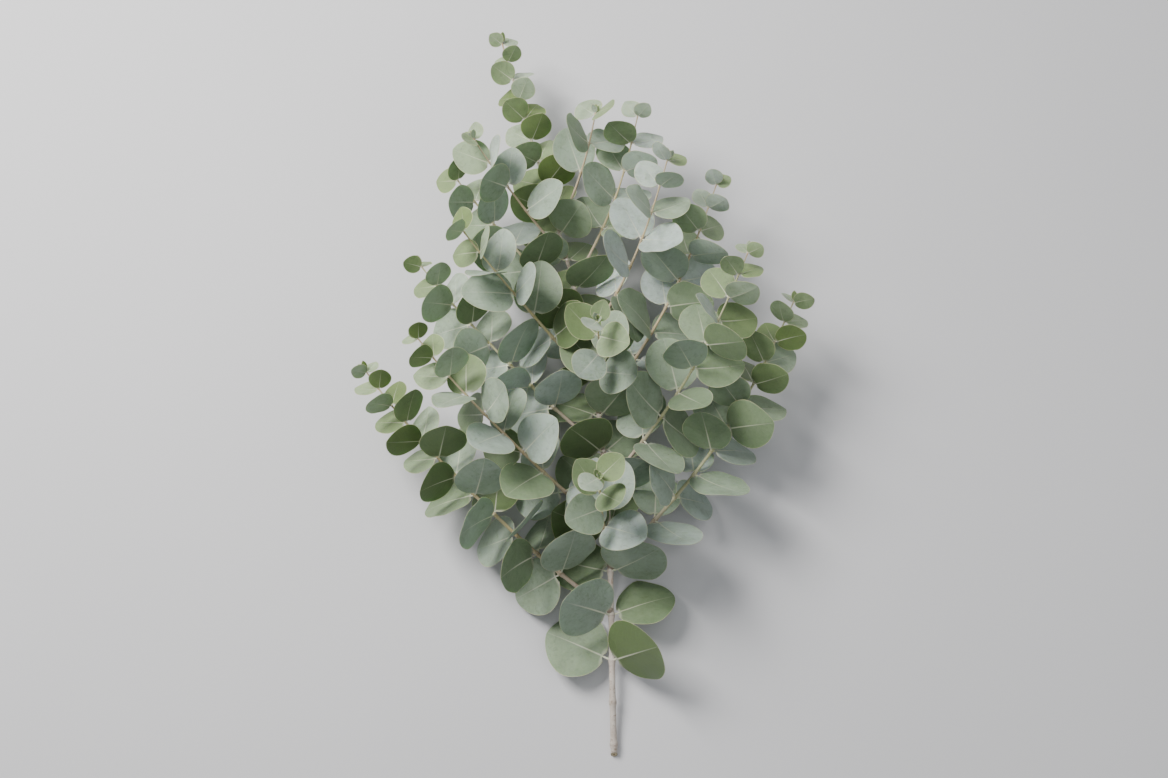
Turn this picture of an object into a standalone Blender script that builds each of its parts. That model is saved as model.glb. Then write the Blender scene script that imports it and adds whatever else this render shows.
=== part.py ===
"""A cut eucalyptus branch lying on a flat surface, in metres, +Z up.

The branch is a woody main stem with thin side shoots. Round leaves sit on short stalks in opposite
pairs, and each pair is turned a quarter from the one below it. A large leaf is a piece of its own. The
young leaves near a growing tip are joined to their shoot. The lower leaves are pushed up by the surface.
The origin is on the surface, under the middle of the branch, and +Y runs from the cut end to the tip.
"""

import math
import random
from dataclasses import dataclass

import bmesh
import bpy
from mathutils import Matrix, Vector
from mathutils.bvhtree import BVHTree

# Driving dimensions of the whole branch
BRANCH_NAME = "eucalyptus_branch"
CUT_END = Vector((0.0268, -0.3231, 0.0028))
CUT_SLANT = math.radians(-40)
GAP = 0.0003
TIP_BEYOND_PAIR = 0.003
MAIN_POINTS, MAIN_SIDES = 28, 8
SHOOT_POINTS, SHOOT_SIDES = 11, 6

# Leaves
LEAF_THICKNESS = 0.0006
STALK_SHARE = 0.07
STALK_HALF_WIDTH = 0.0009
BLADE_FULLNESS = 0.58
BLADE_WIDEST = 0.78
BASE_LOBES = 0.045
LARGE_GRID = (4, 6)
YOUNG_GRID = (2, 4)
TIP_GRID = (1, 4)
LONGEST_TIP_LEAF = 0.029
YOUNG_ROOT_DEPTH = 0.65
PAIR_PHASE = math.radians(45)
TURN_TO_FACE_UP = 0.5

# (Lean, swing) in degrees that a young leaf may be pushed by to clear another shoot, the smallest first
YOUNG_PUSHES = (
    (0, 0), (-14, 0), (14, 0), (0, -18), (0, 18), (-14, -18), (-14, 18), (14, -18), (14, 18),
    (-28, 0), (28, 0), (0, -36), (0, 36), (-28, -36), (-28, 36),
)
YOUNG_LOWEST = 0.001

# How far a large leaf may be pushed from its natural pose, and what each degree costs
LEAN_STEPS = (0, -12, 12, -24, 24, -36, 36)
SWING_STEPS = (0, -15, 15, -30, 30, -45, 45)
ROLL_STEPS = (0, -20, 20, -40, 40, -60, 60)
LEAN_COST, SWING_COST, ROLL_COST = 1.0, 0.8, 0.5
CLEARANCE = 0.0007
SETTLE_STEPS = 7


@dataclass
class Shoot:
    """A stem or side shoot. Angles are in degrees; heading is measured from +Y towards +X."""

    name: str
    start: Vector
    heading: float
    climb: float
    turn: float
    lift: float
    sway: float
    length: float
    base_radius: float
    tip_radius: float
    first_pair: float
    pair_spacing: float
    spacing_ratio: float
    leaf_length: float
    tip_leaf_length: float
    leaf_roundness: float
    separate_pairs: int

    def axes(self, distance):
        """(side, ahead, up) unit vectors at that distance from the shoot's base."""
        share = distance / self.length
        swayed = self.sway * math.sin(2 * math.pi * share)
        heading = math.radians(self.heading + self.turn * share + swayed)
        climb = math.radians(self.climb + self.lift * share)
        side = Vector((math.cos(heading), -math.sin(heading), 0))
        level = Vector((math.sin(heading), math.cos(heading), 0))
        ahead = level * math.cos(climb) + Vector((0, 0, math.sin(climb)))
        return side, ahead, side.cross(ahead)

    def point(self, distance):
        """The centre line's point at that distance, by summing short steps along it."""
        steps = 32
        step = distance / steps
        place = self.start.copy()
        for i in range(steps):
            place += self.axes((i + 0.5) * step)[1] * step
        return place

    def radius(self, distance):
        share = distance / self.length
        return self.base_radius + (self.tip_radius - self.base_radius) * share

    def pair_distances(self):
        """Where each leaf pair sits. Pairs stand closer together towards the tip."""
        found = []
        at, spacing = self.first_pair, self.pair_spacing
        while at < self.length - 0.001:
            found.append(at)
            at += spacing
            spacing *= self.spacing_ratio
        return found

    def end(self):
        return self.pair_distances()[-1] + TIP_BEYOND_PAIR

    def leaf_length_at(self, distance):
        share = (distance - self.first_pair) / (self.length - self.first_pair)
        shrink = 0.30 * share + 0.70 * share**3
        return self.leaf_length + (self.tip_leaf_length - self.leaf_length) * shrink


@dataclass
class Leaf:
    name: str
    length: float
    width: float
    cup: float
    bend: float
    twist: float

    def surface_point(self, across, along):
        """Across runs from -1 to 1 and along from 0 to 1. The stalk is the first part of along."""
        blade = max(0.0, (along - STALK_SHARE) / (1 - STALK_SHARE))
        full = math.sin(math.pi * blade**BLADE_WIDEST) ** BLADE_FULLNESS if 0 < blade < 1 else 0.0
        half = max(STALK_HALF_WIDTH, self.width / 2 * full)
        x = across * half
        lobe = BASE_LOBES * self.length * across**2 * (1 - blade) ** 4
        y = along * self.length - (lobe if blade > 0 else 0)
        share = y / self.length
        z = self.cup * x * x * 2 / self.width
        z += self.bend * self.length * 4 * share * (1 - share)
        z += self.twist * x * share
        return Vector((x, y, z))


MAIN_STEM = Shoot(
    "main_stem", CUT_END, heading=-2, climb=8, turn=-14, lift=-6, sway=4, length=0.655,
    base_radius=0.0031, tip_radius=0.0006, first_pair=0.088, pair_spacing=0.0400, spacing_ratio=0.957,
    leaf_length=0.060, tip_leaf_length=0.015, leaf_roundness=0.98, separate_pairs=13,
)

# Pair on the main stem that it grows beside, spread and climb from the main stem, turn and lift along
# it, length, separate pairs
SIDE_SHOOTS = (
    (2, 50, 14, -20, -10, 0.290, 2),
    (1, -52, 17, 22, -12, 0.300, 2),
    (4, 48, 30, -18, -14, 0.245, 1),
    (3, -50, 34, 20, -18, 0.250, 1),
    (6, 44, 13, -16, -6, 0.225, 1),
    (5, -46, 14, 18, -8, 0.235, 1),
    (8, 42, 30, -16, -8, 0.190, 1),
    (7, -42, 34, 16, -10, 0.200, 0),
    (10, 40, 12, -16, 4, 0.160, 0),
    (9, -40, 14, 16, -4, 0.175, 0),
    (12, 36, 24, -12, 6, 0.125, 0),
    (11, -36, 26, 14, 6, 0.135, 0),
    (2, -8, 50, 12, 20, 0.150, 0),
    (6, 10, 54, -8, 18, 0.140, 0),
)


def side_shoot(number, pair, spread, climb, turn, lift, length, separate_pairs):
    """A side shoot beside one leaf pair of the main stem, its base just clear of the stem's surface."""
    distance = MAIN_STEM.pair_distances()[pair] + 0.004
    base_radius = 0.0008 + 0.0045 * length
    shoot = Shoot(
        f"side_shoot_{number}", MAIN_STEM.point(distance),
        heading=MAIN_STEM.heading + MAIN_STEM.turn * distance / MAIN_STEM.length + spread,
        climb=climb, turn=turn, lift=lift, sway=2, length=length,
        base_radius=base_radius, tip_radius=0.0005, first_pair=0.052, pair_spacing=0.0275,
        spacing_ratio=0.957, leaf_length=0.036 + 0.070 * length, tip_leaf_length=0.015,
        leaf_roundness=0.90, separate_pairs=separate_pairs,
    )
    ahead = shoot.axes(0)[1]
    angle = ahead.angle(MAIN_STEM.axes(distance)[1])
    clear = MAIN_STEM.radius(distance) + GAP + base_radius * math.cos(angle)
    shoot.start += ahead * (clear / math.sin(angle))
    return shoot


def clear_scene():
    for old in list(bpy.data.objects):
        bpy.data.objects.remove(old, do_unlink=True)


def material(name, colour, roughness):
    made = bpy.data.materials.new(name)
    made.use_nodes = True
    shader = made.node_tree.nodes["Principled BSDF"]
    shader.inputs["Base Color"].default_value = (*colour, 1)
    shader.inputs["Roughness"].default_value = roughness
    shader.inputs["Metallic"].default_value = 0
    return made


def object_from_mesh(name, mesh, collection, finish):
    made = bpy.data.objects.new(name, mesh)
    collection.objects.link(made)
    mesh.materials.clear()
    mesh.materials.append(finish)
    return made


def stem_object(shoot, points, sides, collection, finish):
    """A tapered round tube along the shoot, as a closed mesh."""
    line = bpy.data.curves.new(shoot.name, "CURVE")
    line.dimensions = "3D"
    line.bevel_depth = 1.0
    line.bevel_resolution = (sides - 4) // 2
    line.use_fill_caps = True
    spline = line.splines.new("POLY")
    spline.points.add(points - 1)
    for i, place in enumerate(spline.points):
        distance = shoot.end() * i / (points - 1)
        place.co = (*shoot.point(distance), 1)
        place.radius = shoot.radius(distance)
    guide = bpy.data.objects.new(shoot.name + "_line", line)
    collection.objects.link(guide)
    graph = bpy.context.evaluated_depsgraph_get()
    mesh = bpy.data.meshes.new_from_object(guide.evaluated_get(graph))
    bpy.data.objects.remove(guide)
    shape = bmesh.new()
    shape.from_mesh(mesh)
    bmesh.ops.remove_doubles(shape, verts=shape.verts, dist=0.00001)
    shape.to_mesh(mesh)
    shape.free()
    mesh.shade_smooth()
    mesh.set_sharp_from_angle(angle=math.radians(40))
    return object_from_mesh(shoot.name, mesh, collection, finish)


def cut_slantwise(stem, shoot):
    """Cuts the lower end off at a slant, as secateurs do, so that the cut face looks back and up."""
    side, ahead, up = shoot.axes(0)
    normal = Matrix.Rotation(CUT_SLANT, 3, side) @ ahead
    middle = shoot.point(shoot.base_radius * 1.5)
    shape = bmesh.new()
    shape.from_mesh(stem.data)
    everything = shape.verts[:] + shape.edges[:] + shape.faces[:]
    bmesh.ops.bisect_plane(shape, geom=everything, plane_co=middle, plane_no=normal, clear_inner=True)
    bmesh.ops.holes_fill(shape, edges=[e for e in shape.edges if e.is_boundary])
    shape.to_mesh(stem.data)
    shape.free()


def leaf_mesh(leaf, grid):
    """The leaf's open middle surface in its own axes: X across, Y along the midrib, Z up from its face.

    It is triangles, so that a curved leaf is the same surface wherever it is tried against another.
    """
    columns, rows = grid
    shape = bmesh.new()
    bmesh.ops.create_grid(shape, x_segments=columns, y_segments=rows, size=1)
    for vertex in shape.verts:
        row = round((vertex.co.y + 1) / 2 * rows)
        blade = (1 - math.cos(math.pi * (row - 1) / (rows - 1))) / 2
        along = 0 if row == 0 else STALK_SHARE + (1 - STALK_SHARE) * blade
        vertex.co = leaf.surface_point(vertex.co.x, along)
    bmesh.ops.triangulate(shape, faces=shape.faces[:])
    mesh = bpy.data.meshes.new(leaf.name)
    shape.to_mesh(mesh)
    shape.free()
    mesh.shade_smooth()
    return mesh


def pose(place, along, upper):
    """A leaf's matrix from its base, the way that its midrib runs and the way that its upper face looks."""
    across = along.cross(upper)
    made = Matrix((across, along, upper)).transposed().to_4x4()
    made.translation = place
    return made


def leaf_pose(shoot, distance, around, stalk_start, lean, roll):
    """Around is the leaf's angle round the shoot, from its side towards up. Lean tilts it off the shoot."""
    side, ahead, up = shoot.axes(distance)
    outward = side * math.cos(around) + up * math.sin(around)
    along = ahead * math.cos(lean) + outward * math.sin(lean)
    upper = ahead * math.sin(lean) - outward * math.cos(lean)
    sky = Vector((0, 0, 1)) - along * along.z
    wanted = sky if upper.dot(sky) >= 0 else -sky
    if wanted.length > 0.2:
        turn = upper.angle(wanted) * TURN_TO_FACE_UP
        sign = 1 if along.dot(upper.cross(wanted)) > 0 else -1
        upper = Matrix.Rotation(sign * turn, 3, along) @ upper
    upper = Matrix.Rotation(roll, 3, along) @ upper
    return pose(shoot.point(distance) + along * stalk_start(lean), along, upper)


def pair_of_leaves(shoot, number, distance):
    """(leaf, its angle round the shoot, its natural lean, its natural roll) for both leaves of a pair."""
    length = shoot.leaf_length_at(distance)
    for half in range(2):
        around = PAIR_PHASE + math.pi / 2 * (number % 2) + math.pi * half
        hand = "right" if math.cos(around) > 0 else "left"
        leaf_name = f"{shoot.name}_leaf_{number + 1:02d}_{hand}"
        chance = random.Random(leaf_name)
        size = chance.uniform(0.88, 1.08)
        young = distance / shoot.length
        leaf = Leaf(
            leaf_name, length * size, length * size * shoot.leaf_roundness * chance.uniform(0.94, 1.04),
            cup=chance.uniform(-0.02, 0.16), bend=chance.uniform(-0.05, 0.05),
            twist=chance.uniform(-0.12, 0.12),
        )
        lean = math.radians(74 - 22 * young**2 + chance.uniform(-10, 10))
        roll = math.radians(chance.uniform(-20, 20))
        yield leaf, around + math.radians(chance.uniform(-14, 14)), lean, roll


@dataclass
class Obstacle:
    tree: BVHTree
    low: Vector
    high: Vector


def obstacle(points, faces):
    low = Vector([min(p[k] for p in points) for k in range(3)])
    high = Vector([max(p[k] for p in points) for k in range(3)])
    return Obstacle(BVHTree.FromPolygons(points, faces), low, high)


def obstacle_of(made):
    """The obstacle that an object's evaluated mesh is."""
    graph = bpy.context.evaluated_depsgraph_get()
    evaluated = made.evaluated_get(graph)
    mesh = evaluated.to_mesh()
    points = [evaluated.matrix_world @ v.co for v in mesh.vertices]
    faces = [tuple(p.vertices) for p in mesh.polygons]
    evaluated.to_mesh_clear()
    return obstacle(points, faces)


def padded_shape(mesh, padding):
    """(points, faces) of the whole leaf with the padding added on both sides, in its own axes."""
    shape = bmesh.new()
    shape.from_mesh(mesh)
    thickness = LEAF_THICKNESS + 2 * padding
    bmesh.ops.solidify(shape, geom=shape.faces[:], thickness=thickness)
    points = [v.co + Vector((0, 0, thickness / 2)) for v in shape.verts]
    faces = [[v.index for v in f.verts] for f in shape.faces]
    shape.free()
    return points, faces


def is_clear(points, faces, obstacles):
    """Whether the shape is clear of every obstacle."""
    trial = obstacle(points, faces)
    for other in obstacles:
        apart = any(trial.low[k] > other.high[k] or trial.high[k] < other.low[k] for k in range(3))
        if not apart and trial.tree.overlap(other.tree):
            return False
    return True


def nudges():
    """Every (lean, swing, roll) that a leaf may be pushed by, the smallest push first."""
    found = [
        (LEAN_COST * abs(lean) + SWING_COST * abs(swing) + ROLL_COST * abs(roll), lean, swing, roll)
        for lean in LEAN_STEPS
        for swing in SWING_STEPS
        for roll in ROLL_STEPS
    ]
    return [tuple(math.radians(x) for x in entry[1:]) for entry in sorted(found)]


def settled_pose(shoot, distance, leaf_entry, mesh, obstacles):
    """The free pose nearest to the leaf's natural one, lowered onto the surface where that holds it up."""
    leaf, around, lean, roll = leaf_entry
    bare_points, faces = padded_shape(mesh, 0)
    padded_points, faces = padded_shape(mesh, CLEARANCE)

    def stalk_start(angle):
        return (shoot.radius(distance) + GAP + LEAF_THICKNESS) / math.sin(angle)

    def posed(push, share=1.0):
        pushed_lean = min(max(lean + push[0] * share, math.radians(35)), math.radians(125))
        return leaf_pose(
            shoot, distance, around + push[1] * share, stalk_start, pushed_lean, roll + push[2] * share
        )

    def free(matrix):
        if min((matrix @ p).z for p in bare_points) < 0:
            return False
        return is_clear([matrix @ p for p in padded_points], faces, obstacles)

    for push in nudges():
        if not free(posed(push)):
            continue
        low, high = 0.0, 1.0
        for _ in range(SETTLE_STEPS):
            share = (low + high) / 2
            if free(posed(push, share)):
                high = share
            else:
                low = share
        return posed(push, high)
    return None


def clear_young_pose(shoot, distance, entry, mesh, obstacles, own_leaves):
    """The first pushed pose that clears the surface, the other shoots and, where one can, its own leaves."""
    leaf, around, lean, roll = entry
    depth = shoot.radius(distance) * (1 - YOUNG_ROOT_DEPTH)
    bare_points, faces = padded_shape(mesh, 0)
    padded_points, faces = padded_shape(mesh, CLEARANCE)
    touching = None
    for push in YOUNG_PUSHES:
        more_lean, swing = math.radians(push[0]), math.radians(push[1])
        matrix = leaf_pose(shoot, distance, around + swing, lambda angle: depth, lean + more_lean, roll)
        placed = [matrix @ p for p in padded_points]
        if min(p.z for p in placed) > YOUNG_LOWEST and is_clear(placed, faces, obstacles):
            if is_clear([matrix @ p for p in bare_points], faces, own_leaves):
                return matrix
            touching = touching or matrix
    return touching


def young_leaves(shoot, obstacles, collection, finish):
    """All the young leaves of a shoot as one helper object. Each starts inside the shoot's stem."""
    together = bmesh.new()
    own_leaves = []
    for number, distance in enumerate(shoot.pair_distances()):
        if number < shoot.separate_pairs:
            continue
        for entry in pair_of_leaves(shoot, number, distance):
            mesh = leaf_mesh(entry[0], TIP_GRID if entry[0].length < LONGEST_TIP_LEAF else YOUNG_GRID)
            matrix = clear_young_pose(shoot, distance, entry, mesh, obstacles, own_leaves)
            if matrix is None:
                print("no room for", entry[0].name)
                continue
            points, faces = padded_shape(mesh, 0)
            own_leaves.append(obstacle([matrix @ p for p in points], faces))
            blade = bmesh.new()
            blade.from_mesh(mesh)
            bmesh.ops.solidify(blade, geom=blade.faces[:], thickness=LEAF_THICKNESS)
            blade.transform(matrix @ Matrix.Translation((0, 0, LEAF_THICKNESS / 2)))
            blade.to_mesh(mesh)
            blade.free()
            together.from_mesh(mesh)
            bpy.data.meshes.remove(mesh)
    mesh = bpy.data.meshes.new(shoot.name + "_young_leaves")
    together.to_mesh(mesh)
    together.free()
    made = object_from_mesh(mesh.name, mesh, collection, finish)
    made.hide_render = True
    made.display_type = "WIRE"
    return made


def add_union(target, other):
    join = target.modifiers.new("young leaves", "BOOLEAN")
    join.operation = "UNION"
    join.solver = "EXACT"
    join.use_self = True
    join.material_mode = "TRANSFER"
    join.object = other


def add_large_leaves(shoot, obstacles, collection, parent, finish):
    """Each large leaf in the free pose nearest to its natural one. One with no room isn't there."""
    for number, distance in enumerate(shoot.pair_distances()[: shoot.separate_pairs]):
        for entry in pair_of_leaves(shoot, number, distance):
            mesh = leaf_mesh(entry[0], LARGE_GRID)
            matrix = settled_pose(shoot, distance, entry, mesh, obstacles)
            if matrix is None:
                print("no room for", entry[0].name)
                continue
            made = object_from_mesh(entry[0].name, mesh, collection, finish)
            made.matrix_world = matrix
            made.parent = parent
            thicken = made.modifiers.new("thickness", "SOLIDIFY")
            thicken.thickness = LEAF_THICKNESS
            thicken.offset = 0
            bpy.context.view_layer.update()
            obstacles.append(obstacle_of(made))


def build():
    """The stems first, with their young leaves, and then the large leaves in the room left for them."""
    clear_scene()
    parts = bpy.data.collections.new(BRANCH_NAME)
    helpers = bpy.data.collections.new("helpers")
    bpy.context.scene.collection.children.link(parts)
    bpy.context.scene.collection.children.link(helpers)
    branch = bpy.data.objects.new(BRANCH_NAME, None)
    parts.objects.link(branch)
    bark = material("bark", (0.45, 0.36, 0.27), 0.6)
    green_bark = material("green_bark", (0.42, 0.42, 0.22), 0.5)
    leaf_finish = material("leaf", (0.24, 0.30, 0.22), 0.55)

    main = stem_object(MAIN_STEM, MAIN_POINTS, MAIN_SIDES, parts, bark)
    cut_slantwise(main, MAIN_STEM)
    side_shoots = [side_shoot(i + 1, *entry) for i, entry in enumerate(SIDE_SHOOTS)]
    stems = [main] + [stem_object(s, SHOOT_POINTS, SHOOT_SIDES, parts, green_bark) for s in side_shoots]
    shoots = [MAIN_STEM] + side_shoots
    bare_stems = [obstacle_of(stem) for stem in stems]
    grown = []
    for i, (shoot, stem) in enumerate(zip(shoots, stems, strict=True)):
        stem.parent = branch
        others = bare_stems[:i] + bare_stems[i + 1 :] + grown
        leaves = young_leaves(shoot, others, helpers, leaf_finish)
        grown.append(obstacle_of(leaves))
        add_union(stem, leaves)

    obstacles = [obstacle_of(stem) for stem in stems]
    for shoot in shoots:
        add_large_leaves(shoot, obstacles, parts, branch, leaf_finish)
    print(len(parts.objects) - 1, "pieces")


build()
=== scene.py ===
# %% [markdown]
# # A cut eucalyptus branch
#
# A branch of silver-dollar eucalyptus lies on a pale table. The solid model under it has plain stems and
# thick, coarse leaves. This lesson grows the fine surface on that frame: thin leaves with a midrib, a
# wavy edge and a waxy bloom, and stems with knuckles where the leaves sit.

import math
import random

import bmesh
import bpy
import numpy as np
from mathutils import Matrix, Vector
from mathutils.bvhtree import BVHTree
from mathutils.kdtree import KDTree


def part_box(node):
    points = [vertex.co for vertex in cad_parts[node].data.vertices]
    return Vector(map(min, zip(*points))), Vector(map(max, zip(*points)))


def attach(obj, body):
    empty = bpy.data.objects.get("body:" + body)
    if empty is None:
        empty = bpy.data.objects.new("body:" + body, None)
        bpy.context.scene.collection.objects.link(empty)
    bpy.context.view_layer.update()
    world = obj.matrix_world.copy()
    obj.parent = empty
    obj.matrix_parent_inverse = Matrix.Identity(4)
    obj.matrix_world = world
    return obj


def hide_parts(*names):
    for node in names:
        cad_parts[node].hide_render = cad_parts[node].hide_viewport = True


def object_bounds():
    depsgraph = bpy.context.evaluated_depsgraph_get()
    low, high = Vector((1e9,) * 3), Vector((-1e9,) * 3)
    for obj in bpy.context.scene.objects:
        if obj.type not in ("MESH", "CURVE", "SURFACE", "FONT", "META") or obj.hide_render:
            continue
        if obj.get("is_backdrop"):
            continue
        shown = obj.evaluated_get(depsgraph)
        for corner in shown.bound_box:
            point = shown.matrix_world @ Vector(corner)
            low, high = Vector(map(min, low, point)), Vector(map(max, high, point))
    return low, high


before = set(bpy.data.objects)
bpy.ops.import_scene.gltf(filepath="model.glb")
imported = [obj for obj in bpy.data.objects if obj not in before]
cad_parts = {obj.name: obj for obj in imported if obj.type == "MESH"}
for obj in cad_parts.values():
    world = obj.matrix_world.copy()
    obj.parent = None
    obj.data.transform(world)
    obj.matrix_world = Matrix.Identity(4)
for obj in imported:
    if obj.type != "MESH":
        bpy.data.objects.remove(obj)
cad_low, cad_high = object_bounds()
node_names = sorted(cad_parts)
print(len(node_names), "nodes,", [round(v, 3) for v in cad_high - cad_low], "m")

# %% [markdown]
# ## The table, the light and the camera
#
# The branch has been laid down, so the camera looks down on it, with the tip at the top of the picture.
# The table is a plain pale disc just under the leaves. The camera stands a little towards the cut end, so
# that the leaves overlap as they do for someone at the table's edge.

# %% Camera and table
middle = (cad_low + cad_high) / 2
size = cad_high - cad_low
CAMERA_TILT = math.radians(7)
CAMERA_DISTANCE = 1.65
AIM_HEIGHT_SHARE = 0.35
SENSOR_WIDTH = 36
FRAME_HEIGHT = 0.68
FRAME_ASPECT = 1168 / 778
TABLE_RADIUS = 3.0
TABLE_DROP = 0.0006

camera_data = bpy.data.cameras.new("camera")
camera = bpy.data.objects.new("camera", camera_data)
bpy.context.scene.collection.objects.link(camera)
bpy.context.scene.camera = camera
target = Vector((middle.x, middle.y, size.z * AIM_HEIGHT_SHARE))
camera.location = target + Matrix.Rotation(CAMERA_TILT, 3, "X") @ Vector((0, 0, CAMERA_DISTANCE))
camera.rotation_euler = (CAMERA_TILT, 0, 0)
camera_data.sensor_width = SENSOR_WIDTH
camera_data.lens = SENSOR_WIDTH * CAMERA_DISTANCE / (FRAME_HEIGHT * FRAME_ASPECT)
camera_data.dof.use_dof = False

table_shape = bmesh.new()
bmesh.ops.create_circle(table_shape, cap_ends=True, segments=128, radius=TABLE_RADIUS)
bmesh.ops.translate(table_shape, verts=table_shape.verts, vec=(0, 0, -TABLE_DROP))
table_mesh = bpy.data.meshes.new("table")
table_shape.to_mesh(table_mesh)
table_shape.free()
table = bpy.data.objects.new("table", table_mesh)
bpy.context.scene.collection.objects.link(table)
table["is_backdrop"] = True
print("lens", round(camera_data.lens, 1), "mm")

# %% [markdown]
# ## The light
#
# One large soft lamp stands at the upper left, as a window would. A wide weak one hangs overhead, and a
# weaker one fills the shadows from the lower right. The grey of the room gives a little light from all
# sides. It looks brighter behind the table than the light it gives, so that the shadows keep their depth
# and the background stays pale.

# %% Soft studio light
ROOM_GREY = (0.86, 0.89, 0.93, 1)
ROOM_LIGHT = 0.22
ROOM_SEEN = 0.72


def soft_lamp(name, place, width, power, colour):
    """An area lamp at that place, pointing at the middle of the branch."""
    lamp = bpy.data.lights.new(name, "AREA")
    lamp.shape = "SQUARE"
    lamp.size = width
    lamp.energy = power
    lamp.color = colour
    made = bpy.data.objects.new(name, lamp)
    bpy.context.scene.collection.objects.link(made)
    made.location = place
    made.rotation_euler = (target - made.location).to_track_quat("-Z", "Y").to_euler()


soft_lamp("window", Vector((-0.95, 0.85, 1.35)), 0.8, 55, (1.0, 0.99, 0.97))
soft_lamp("sky", Vector((0.4, 0.1, 2.2)), 2.2, 13, (0.95, 0.98, 1.0))
soft_lamp("fill", Vector((1.3, -0.9, 0.9)), 1.2, 3, (0.97, 0.98, 1.0))
world = bpy.data.worlds.new("room")
world.use_nodes = True
room = world.node_tree
room.nodes["Background"].inputs["Color"].default_value = ROOM_GREY
seen = room.nodes.new("ShaderNodeLightPath").outputs["Is Camera Ray"]
strength = room.nodes.new("ShaderNodeMapRange")
strength.inputs["To Min"].default_value = ROOM_LIGHT
strength.inputs["To Max"].default_value = ROOM_SEEN
room.links.new(seen, strength.inputs["Value"])
room.links.new(strength.outputs["Result"], room.nodes["Background"].inputs["Strength"])
bpy.context.scene.world = world

# %% [markdown]
# ## How a eucalyptus shoot grows
#
# A shoot carries its leaves in opposite pairs. Each pair is turned a quarter from the one below, the
# pairs stand closer together towards the tip, and the leaves get smaller. The solid model follows this
# rule, so the same rule finds where each stem runs and where each leaf would sit if nothing were in its
# way. Where the table or a neighbour has pushed a leaf aside, its solid shows it, further down.

# %% The growth rule
PAIR_PHASE = math.radians(45)
TIP_BEYOND_PAIR = 0.003
CENTRE_LINE_STEPS = 32
EVEN_SHRINK = 0.30


class Shoot:
    """A stem or side shoot. Angles are in degrees; heading is measured from +Y towards +X."""

    def __init__(self, name, start, heading, climb, turn, lift, sway, length, radii, pairs, leaves):
        self.name, self.start, self.length = name, start, length
        self.heading, self.climb, self.turn, self.lift, self.sway = heading, climb, turn, lift, sway
        self.base_radius, self.tip_radius = radii
        self.first_pair, self.pair_spacing, self.spacing_ratio, self.separate_pairs = pairs
        self.leaf_length, self.tip_leaf_length, self.leaf_roundness = leaves

    def axes(self, distance):
        """(side, ahead, up) unit vectors at that distance from the shoot's base."""
        share = distance / self.length
        swayed = self.sway * math.sin(2 * math.pi * share)
        heading = math.radians(self.heading + self.turn * share + swayed)
        climb = math.radians(self.climb + self.lift * share)
        side = Vector((math.cos(heading), -math.sin(heading), 0))
        level = Vector((math.sin(heading), math.cos(heading), 0))
        ahead = level * math.cos(climb) + Vector((0, 0, math.sin(climb)))
        return side, ahead, side.cross(ahead)

    def point(self, distance):
        """The centre line's point at that distance. Below zero it runs straight back from the base."""
        if distance < 0:
            return self.start + self.axes(0)[1] * distance
        step = distance / CENTRE_LINE_STEPS
        place = self.start.copy()
        for i in range(CENTRE_LINE_STEPS):
            place += self.axes((i + 0.5) * step)[1] * step
        return place

    def radius(self, distance):
        share = min(max(distance / self.length, 0), 1)
        return self.base_radius + (self.tip_radius - self.base_radius) * share

    def pair_distances(self):
        """How far along each leaf pair sits. Each gap is a little shorter than the one before."""
        found = []
        at, spacing = self.first_pair, self.pair_spacing
        while at < self.length - 0.001:
            found.append(at)
            at += spacing
            spacing *= self.spacing_ratio
        return found

    def end(self):
        return self.pair_distances()[-1] + TIP_BEYOND_PAIR

    def leaf_length_at(self, distance):
        share = (distance - self.first_pair) / (self.length - self.first_pair)
        shrink = EVEN_SHRINK * share + (1 - EVEN_SHRINK) * share**3
        return self.leaf_length + (self.tip_leaf_length - self.leaf_length) * shrink


# %% [markdown]
# ## The stems
#
# The main stem rises a little from its cut end and leans to the left. Fourteen side shoots grow out of
# the crooks of its leaf pairs. Each starts one small gap outside the main stem, as its solid does.

# %% The main stem
main_stem = Shoot(
    "main_stem", Vector((0.0268, -0.3231, 0.0028)), heading=-2, climb=8, turn=-14, lift=-6, sway=4,
    length=0.655, radii=(0.0031, 0.0006), pairs=(0.088, 0.0400, 0.957, 13), leaves=(0.060, 0.015, 0.98),
)


# %% The side shoots
ABOVE_PAIR = 0.004
GAP_BETWEEN_SOLIDS = 0.0003


def side_shoot(number, pair, spread, climb, turn, lift, length, separate_pairs):
    """A shoot that leaves the main stem just above that pair, spread degrees off the stem's heading."""
    distance = main_stem.pair_distances()[pair] + ABOVE_PAIR
    base_radius = 0.0008 + 0.0045 * length
    shoot = Shoot(
        f"side_shoot_{number}", main_stem.point(distance),
        heading=main_stem.heading + main_stem.turn * distance / main_stem.length + spread,
        climb=climb, turn=turn, lift=lift, sway=2, length=length, radii=(base_radius, 0.0005),
        pairs=(0.052, 0.0275, 0.957, separate_pairs), leaves=(0.036 + 0.070 * length, 0.015, 0.90),
    )
    ahead = shoot.axes(0)[1]
    angle = ahead.angle(main_stem.axes(distance)[1])
    reach = main_stem.radius(distance) + GAP_BETWEEN_SOLIDS + base_radius * math.cos(angle)
    shoot.gap = reach / math.sin(angle)
    shoot.start += ahead * shoot.gap
    return shoot


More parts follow.
